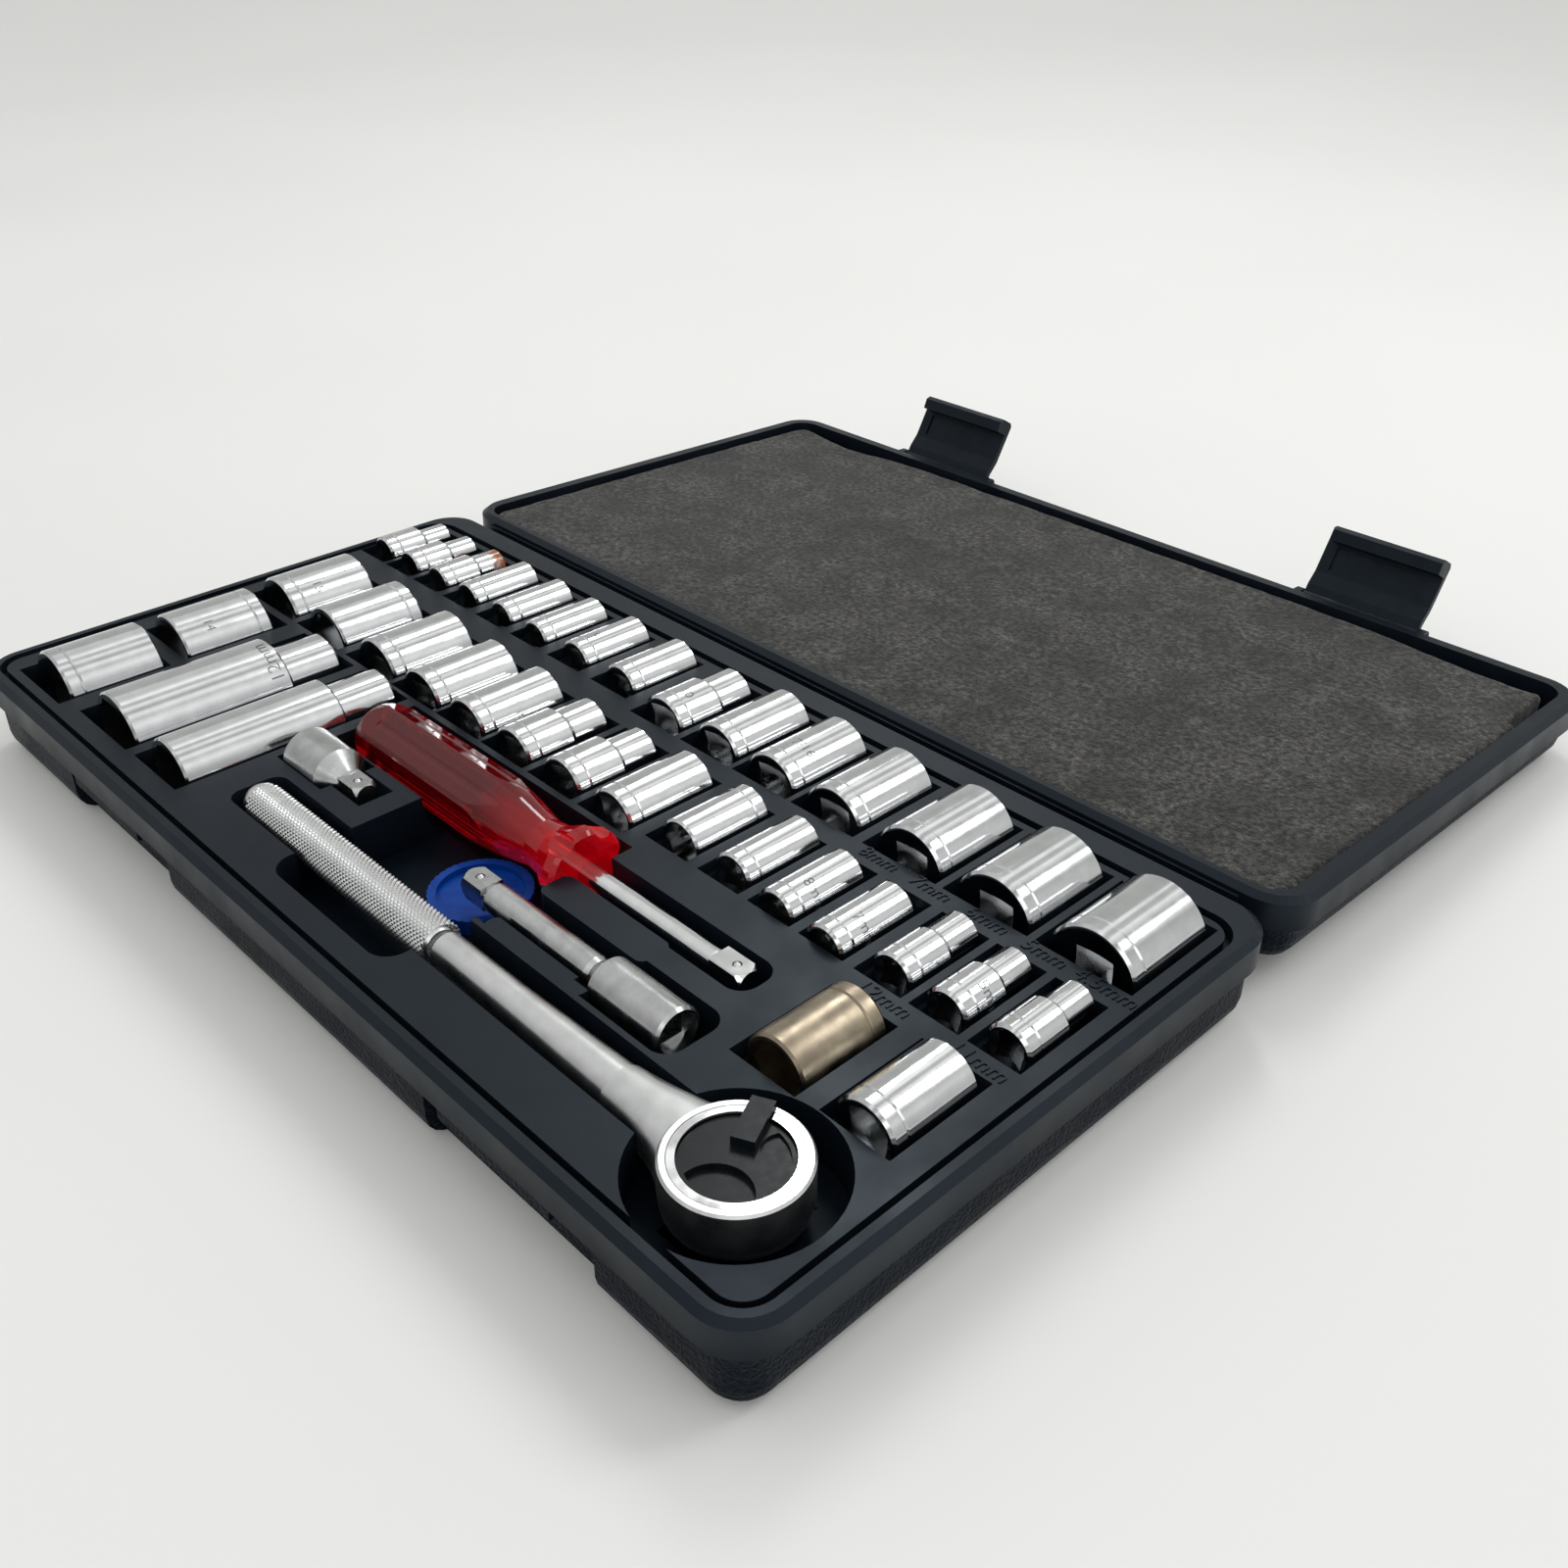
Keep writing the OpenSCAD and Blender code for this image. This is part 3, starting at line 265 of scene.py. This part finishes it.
tray_top, number_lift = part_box("tray_front")[1].z, 0.00012
for mark, x, y in (
        ("8mm", 0.0785, 0.0338), ("7mm", 0.0950, 0.0338), ("6mm", 0.1120, 0.0338),
        ("5mm", 0.1285, 0.0338), ("4.5mm", 0.1430, 0.0338),
        ("12mm", 0.1130, -0.0032), ("11mm", 0.1395, -0.0036)):
    name = "number_" + mark.replace(".", "_")
    mesh = lettering(name, mark, 0.0058, 0.00016, 0.00004, slant=0.12)
    mesh.transform(Matrix.Translation((x, y, tray_top + number_lift)))
    mesh.materials.append(base_plastic)
    number = stand(name, mesh)
    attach(number, "case_base")

# ------------------------------------------------------------------ lid foam
# A sheet of charcoal reclaimed foam, cut by hand and pressed into the lid, so that its edge
# waves and leaves a dark gap at two corners. Its face is speckled and slightly fuzzy.

lid_lay = (Matrix.Translation(hinge_line) @ Matrix.Rotation(-lid_tilt, 4, "X")
           @ Matrix.Translation(-hinge_line))
foam_half_x, foam_half_y, foam_mid_y = 0.1590, 0.0790, 0.17155
foam_foot, foam_top, foam_corner = rim - 0.0177, rim - 0.0019, 0.0065
foam_edge_round, foam_point_step, foam_face_rings = 0.0011, 0.0013, 56


def rounded_outline(half_x, half_y, corner, step):
    """Points round a rectangle with round corners, each with its outward direction."""
    points = []
    for cx, cy, start in ((1, 1, 0), (-1, 1, 90), (-1, -1, 180), (1, -1, 270)):
        for k in range(7):
            angle = math.radians(start + 15 * k)
            points.append((cx * (half_x - corner) + corner * math.cos(angle),
                           cy * (half_y - corner) + corner * math.sin(angle),
                           math.cos(angle), math.sin(angle)))
    dense = []
    for (x0, y0, u0, v0), (x1, y1, u1, v1) in zip(points, points[1:] + points[:1]):
        count = max(1, round(math.hypot(x1 - x0, y1 - y0) / step))
        for k in range(count):
            t = k / count
            dense.append((x0 + (x1 - x0) * t, y0 + (y1 - y0) * t,
                          u0 + (u1 - u0) * t, v0 + (v1 - v0) * t))
    return dense


def hand_cut(x, y, out_x, out_y):
    """Draw a point of the outline in to the knife's path, which runs wide at the far corners."""
    wave = (0.0006 * noise.noise(Vector((x * 55, y * 55, 3)))
            + 0.0004 * noise.noise(Vector((x * 210, y * 210, 9))))
    gap = 0.0006 + abs(wave) * 1.2
    if y > 0.05:
        gap += 0.0050 * math.exp(-((x + 0.128) / 0.022) ** 2)
        gap += 0.0040 * math.exp(-((x - 0.140) / 0.030) ** 2)
    return x - out_x * gap, y - out_y * gap, out_x, out_y


shape = bmesh.new()
cut = [hand_cut(*point)
       for point in rounded_outline(foam_half_x, foam_half_y, foam_corner, foam_point_step)]
rings = []
# The cut side, from the lid's floor up: how far each ring is drawn in, and its height
for inset, high in ((0, foam_foot), (-0.0001, rim - 0.0120), (0, rim - 0.0065),
                    (0.0001, foam_top - 0.0010), (0.0004, foam_top - 0.0003),
                    (foam_edge_round, foam_top)):
    rings.append([shape.verts.new((x - u * inset, y - v * inset + foam_mid_y, high))
                  for x, y, u, v in cut])
# The face, in rings that close on a line along its middle, with a faint swell
middle_end = foam_half_x - foam_half_y
for k in range(1, foam_face_rings + 1):
    inward = k / foam_face_rings
    ring = []
    for x, y, u, v in cut:
        middle_x = max(-middle_end, min(middle_end, x))
        edge_x, edge_y = x - u * foam_edge_round, y - v * foam_edge_round
        face_x, face_y = edge_x + (middle_x - edge_x) * inward, edge_y * (1 - inward)
        swell = 0.0004 * noise.noise(Vector((face_x * 30, face_y * 30, 1))) * min(1, inward * 6)
        ring.append(shape.verts.new((face_x, face_y + foam_mid_y, foam_top + swell)))
    rings.append(ring)


def skin_rings(shape, rings):
    """Faces between each ring of points and the next."""
    for lower, upper in zip(rings, rings[1:]):
        for k in range(len(lower)):
            m = (k + 1) % len(lower)
            shape.faces.new((lower[k], lower[m], upper[m], upper[k]))


skin_rings(shape, rings)
shape.faces.new(list(reversed(rings[0])))
bmesh.ops.remove_doubles(shape, verts=shape.verts, dist=0.00002)
bmesh.ops.recalc_face_normals(shape, faces=shape.faces)
shape.transform(lid_lay)
foam_mesh = bpy.data.meshes.new("foam_pad")
shape.to_mesh(foam_mesh)
shape.free()
foam_mesh.polygons.foreach_set("use_smooth", [True] * len(foam_mesh.polygons))
foam_pad = stand("foam_pad", foam_mesh)

speckled_foam, tree, skin = new_finish("speckled_foam")
coord = add(tree, "TexCoord").outputs["Object"]
clouds = mottle(tree, 70, 0.30, (1.25, 1.24, 1.20), where=coord, lo=0.36, hi=0.64)
flecks = mottle(tree, 620, (0.005, 0.005, 0.006), (0.078, 0.077, 0.073),
                detail=7, where=coord, lo=0.38, hi=0.68)
fibres = mottle(tree, 2000, 0.30, (1.6, 1.58, 1.5), detail=3, where=coord, lo=0.4, hi=0.62)
fuzzy = add(tree, "MixRGB", 0.8, flecks, fibres, blend_type="MULTIPLY")
feed(tree, skin.inputs["Base Color"],
     add(tree, "MixRGB", 0.75, fuzzy, clouds, blend_type="MULTIPLY"))
skin.inputs["Roughness"].default_value = 0.95
skin.inputs["Specular IOR Level"].default_value = 0.15
skin.inputs["Sheen Weight"].default_value = 0.15
skin.inputs["Sheen Roughness"].default_value = 0.6
pores = add(tree, "TexNoise", coord, Scale=1100.0, Detail=5.0)
feed(tree, skin.inputs["Normal"], add(tree, "Bump", Strength=0.8, Distance=0.0005, Height=pores))
foam_mesh.materials.append(speckled_foam)
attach(foam_pad, "lid")
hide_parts("lid_foam")
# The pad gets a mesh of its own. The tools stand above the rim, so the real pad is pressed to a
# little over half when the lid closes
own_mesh(foam_pad)

# ------------------------------------------------------------------ latches
# Two cranked plates of the same plastic as the case, which pivot in ears on the lid's edge.
# Handling has rubbed them a little smoother than the walls.

latch_plastic, tree, skin = new_finish("latch_plastic")
feed(tree, skin.inputs["Base Color"],
     mottle(tree, 90, (0.0032, 0.0055, 0.0095), (0.0055, 0.0085, 0.0140)))
feed(tree, skin.inputs["Roughness"], mottle(tree, 200, 0.36, 0.5))
skin.inputs["Specular IOR Level"].default_value = 0.2
skin.inputs["Specular Tint"].default_value = plastic_sheen
for node in ("latch_left", "latch_right"):
    coat(node, latch_plastic)

# ------------------------------------------------------------------ sockets
# Turned steel, plated in bright chrome. The turning leaves faint rings under the plate, and
# use leaves a thin film of oil. One at the front has a worn bronze finish instead.


def plated(name, light, dark, rough, rings_deep, along="Y"):
    """Metal with faint rings round the axis along, and a range of roughness."""
    finish, tree, skin = new_finish(name)
    skin.inputs["Metallic"].default_value = 1
    coord = add(tree, "TexCoord").outputs["Object"]
    feed(tree, skin.inputs["Base Color"], mottle(tree, 220, dark, light, where=coord))
    feed(tree, skin.inputs["Roughness"], mottle(tree, 160, *rough, where=coord))
    rings_close = {"Y": (30, 1500, 30), "X": (1500, 30, 30), "Z": (30, 30, 1500)}[along]
    turned = add(tree, "TexNoise", add(tree, "Mapping", coord, Scale=rings_close),
                 Scale=1.0, Detail=3.0)
    feed(tree, skin.inputs["Normal"],
         add(tree, "Bump", Strength=rings_deep, Distance=0.00004, Height=turned))
    return finish


chrome = plated("socket_chrome", (0.66, 0.67, 0.68), (0.60, 0.61, 0.62), (0.10, 0.15), 0.02)
bronze = plated("bronze_worn", (0.34, 0.29, 0.21), (0.24, 0.20, 0.15), (0.26, 0.4), 0.06)
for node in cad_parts:
    if node.startswith("socket_"):
        coat(node, bronze if node == "socket_front_bronze" else chrome)

# ------------------------------------------------------------------ rusty socket
# One small socket in the back row has lost its plating at the nut end. The steel rusts there,
# with a ragged edge where the plating begins.

rust_brown, rust_ragged, rust_fade = (0.27, 0.085, 0.022, 1), 0.012, (0.0005, 0.0045)
tip_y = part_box("socket_back_03")[1].y
rusty = chrome.copy()
rusty.name = "rusty_chrome"
tree = rusty.node_tree
skin = tree.nodes["Principled BSDF"]
plating = skin.inputs["Base Color"].links[0].from_socket
coord = add(tree, "TexCoord").outputs["Object"]
reach = add(tree, "SeparateXYZ", coord)
wander = add(tree, "TexNoise", coord, Scale=420.0, Detail=4.0)
ragged = add(tree, "Math", wander, rust_ragged, reach.outputs["Y"], operation="MULTIPLY_ADD")
bare = add(tree, "MapRange", ragged, tip_y + rust_fade[0], tip_y + rust_fade[1])
feed(tree, skin.inputs["Base Color"], add(tree, "MixRGB", bare, plating, rust_brown))
feed(tree, skin.inputs["Metallic"], add(tree, "Math", 1.0, bare, operation="SUBTRACT"))
coat("socket_back_03", rusty)

# ------------------------------------------------------------------ socket stamps
# Plain sizes stamped round the barrels. The stamp leaves thin dark strokes in the plating, so
# each one is a skin a few hundredths of a millimetre thick that follows the barrel.

stamped, tree, skin = new_finish("stamped_strokes")
skin.inputs["Metallic"].default_value = 1
skin.inputs["Base Color"].default_value = (0.16, 0.165, 0.17, 1)
skin.inputs["Roughness"].default_value = 0.35
stamp_lift = 0.00003


def stamp(node, mark, y, start, turned=False, tall=0.0030):
    """Bend the mark round the barrel from the angle start, measured from the top towards +X."""
    low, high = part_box(node)
    radius = (high.x - low.x) / 2
    axis_x, axis_z = (high.x + low.x) / 2, high.z - radius
    mesh = lettering(node + "_stamp", mark, tall * 1.4, 0.00002, 0.00003)
    way = -1 if turned else 1
    for vert in mesh.vertices:
        angle = math.radians(start) + way * vert.co.x / radius
        out = radius + stamp_lift + vert.co.z
        vert.co = (axis_x + out * math.sin(angle), y + way * vert.co.y,
                   axis_z + out * math.cos(angle))
    mesh.materials.append(stamped)
    strokes = stand(node + "_stamp", mesh)
    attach(strokes, node)


for node, mark, from_end, start in (
        ("socket_mid_11", "8mm", 0.0075, 12), ("socket_mid_12", "7mm", 0.0075, 12),
        ("socket_mid_14", "5mm", 0.0070, 22), ("socket_back_11", "7/16", 0.0085, -8),
        ("socket_back_07", "9", 0.0060, 0), ("socket_back_09", "10", 0.0060, 0),
        ("socket_column_2", "14", 0.0080, 30), ("socket_mid_01", "15", 0.0090, 30)):
    stamp(node, mark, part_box(node)[0].y + from_end, start)
stamp("socket_deep_large", "12mm", -0.0240, 62, turned=True, tall=0.0040)

# ------------------------------------------------------------------ ratchet body
# One steel forging with satin plating. A diamond knurl is rolled into the round grip, and the
# shank flares smoothly into the round head.

satin = plated("ratchet_steel", (0.66, 0.67, 0.67), (0.58, 0.59, 0.59), (0.27, 0.34), 0.04, "X")
coat("ratchet_body", satin)
head_low, head_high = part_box("ratchet_body")
ratchet_y, ratchet_z = -0.057, head_low.z + 0.007

knurl_from, knurl_to, knurl_r, knurl_h, knurl_count = -0.0438, 0.0372, 0.005225, 0.00034, 24
# Half steps of the diamonds: a pit where the two counts add up to an even number, else a peak
half_step = math.pi * knurl_r / knurl_count
knurl_rows, knurl_round = round((knurl_to - knurl_from) / half_step), 2 * knurl_count
points, faces = [], []
for i in range(knurl_rows + 1):
    for j in range(knurl_round):
        peak = (i + j) % 2 and 0 < i < knurl_rows
        r, angle = knurl_r + knurl_h * peak, math.pi * j / knurl_count
        points.append((knurl_from + half_step * i, ratchet_y + r * math.cos(angle),
                       ratchet_z + r * math.sin(angle)))
for i in range(knurl_rows):
    for j in range(knurl_round):
        m = (j + 1) % knurl_round
        a, b = i * knurl_round + j, i * knurl_round + m
        c, d = (i + 1) * knurl_round + m, (i + 1) * knurl_round + j
        faces += [(a, b, c), (a, c, d)] if (i + j) % 2 == 0 else [(a, b, d), (b, c, d)]
knurl_mesh = bpy.data.meshes.new("knurled_grip")
knurl_mesh.from_pydata(points, [], faces)
knurl_mesh.materials.append(satin)
knurled_grip = stand("knurled_grip", knurl_mesh)
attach(knurled_grip, "ratchet")

head_r, flare_start, flare_skin = 0.0150, -0.034, 0.0001
head_x, flare_sunk = head_high.x - head_r, 0.0008
flare_around, flare_rings = 48, 26


def flare_section(x):
    """Half width, half height and squareness of the forging at x from the head's axis."""
    tall = 0.0054 + 0.0014 * max(0, min(1, (x - flare_start) / 0.022))
    cone = 0.0105 + 0.1767 * x
    bow = 0.0056 + 0.0064 * max(0, (x + 0.032) / 0.023) ** 2.7
    wide = min(0.0122, (tall ** 12 + cone ** 12 + bow ** 12) ** (1 / 12) + flare_skin)
    return wide, tall + flare_skin, 2 + 0.8 * max(0, min(1, (x - flare_start) / 0.014))


flare = bmesh.new()
rings = []
for k in range(flare_rings + 1):
    ring = []
    for j in range(flare_around):
        angle = 2 * math.pi * j / flare_around
        u, v = math.cos(angle), math.sin(angle)
        y = 0.0
        # Each line of points ends in the head's round wall, so its end depends on its width
        for turn in range(6):
            end = -math.sqrt(max(0, (head_r - flare_sunk) ** 2 - y * y))
            x = flare_start + (end - flare_start) * k / flare_rings
            wide, tall, square = flare_section(x)
            y = wide * math.copysign(abs(u) ** (2 / square), u)
        z = tall * math.copysign(abs(v) ** (2 / square), v)
        ring.append(flare.verts.new((head_x + x, ratchet_y + y, ratchet_z + z)))
    rings.append(ring)
skin_rings(flare, rings)
bmesh.ops.recalc_face_normals(flare, faces=flare.faces)
flare_mesh = bpy.data.meshes.new("head_flare")
flare.to_mesh(flare_mesh)
flare.free()
flare_mesh.polygons.foreach_set("use_smooth", [True] * len(flare_mesh.polygons))
flare_mesh.materials.append(satin)
head_flare = stand("head_flare", flare_mesh)
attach(head_flare, "ratchet")

# ------------------------------------------------------------------ reversing plate
# A round plate with a thumb tab, blackened and oiled, which turns in the ratchet's head. The
# finger hollow in it keeps a slight shine.

black_plate, tree, skin = new_finish("black_plate")
feed(tree, skin.inputs["Base Color"],
     mottle(tree, 300, (0.004, 0.006, 0.008), (0.007, 0.009, 0.011)))
feed(tree, skin.inputs["Roughness"], mottle(tree, 500, 0.26, 0.34))
skin.inputs["Specular IOR Level"].default_value = 0.16
coat("reversing_plate", black_plate)

# ------------------------------------------------------------------ gear, pawl, bar and adapter
# Hardened tool steel, ground and thinly plated, so that it is greyer than the sockets. The
# gear and the pawl lie inside the head, and the bar and the adapter lie loose in the tray.

tool_steel = plated("tool_steel", (0.52, 0.53, 0.53), (0.42, 0.43, 0.43), (0.16, 0.30), 0.05, "X")
for node in ("drive_gear", "pawl", "extension_bar", "adapter_body"):
    coat(node, tool_steel)

# ------------------------------------------------------------------ spring ring, balls and spring
# Bright spring and bearing steel: the ring that holds the reversing plate in, the balls in the
# square tips, and the detent's ball on its coil spring.

bright = plated("spring_steel", (0.66, 0.67, 0.67), (0.56, 0.57, 0.57), (0.12, 0.24), 0.05, "Z")
for node in ("retaining_ring", "detent_ball", "detent_spring", "anvil_ball",
             "spinner_ball", "extension_ball", "adapter_ball"):
    coat(node, bright)

# ------------------------------------------------------------------ spinner handle
# Clear red acetate moulded on a bright plated shaft. The plastic is old enough to have fine
# scratches, and a painted glow, an emission in the acetate, brightens its waist.

acetate, tree, skin = new_finish("red_acetate")
skin.inputs["Base Color"].default_value = (0.42, 0.0015, 0.006, 1)
skin.inputs["Transmission Weight"].default_value = 0.85
skin.inputs["IOR"].default_value = 1.47
skin.inputs["Specular IOR Level"].default_value = 0.25
feed(tree, skin.inputs["Roughness"], mottle(tree, 400, 0.03, 0.09))
waist_x, waist_run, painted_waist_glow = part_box("spinner_handle")[1].x - 0.008, 0.030, 0.16
along_handle = add(tree, "SeparateXYZ", add(tree, "TexCoord").outputs["Object"])
# Painted glow: emission that rises along the handle towards the waist, standing in for light
# gathered in the plastic
skin.inputs["Emission Color"].default_value = (0.75, 0.0, 0.012, 1)
feed(tree, skin.inputs["Emission Strength"],
     add(tree, "MapRange", along_handle.outputs["X"], waist_x - waist_run, waist_x, 0.0, painted_waist_glow))
coat("spinner_handle", acetate)
shaft_chrome = plated("shaft_chrome", (0.74, 0.75, 0.75), (0.66, 0.67, 0.67), (0.1, 0.16), 0.03, "X")
coat("spinner_shaft", shaft_chrome)

# ------------------------------------------------------------------ ribbed cap
# A moulded cap of glossy blue plastic, with ribs round its edge for the fingers, that lies
# loose at the bottom of the finger well.

blue, tree, skin = new_finish("blue_cap")
feed(tree, skin.inputs["Base Color"], mottle(tree, 300, (0.001, 0.036, 0.24), (0.002, 0.052, 0.31)))
feed(tree, skin.inputs["Roughness"], mottle(tree, 700, 0.28, 0.4))
skin.inputs["Specular IOR Level"].default_value = 0.16
coat("ribbed_cap", blue)
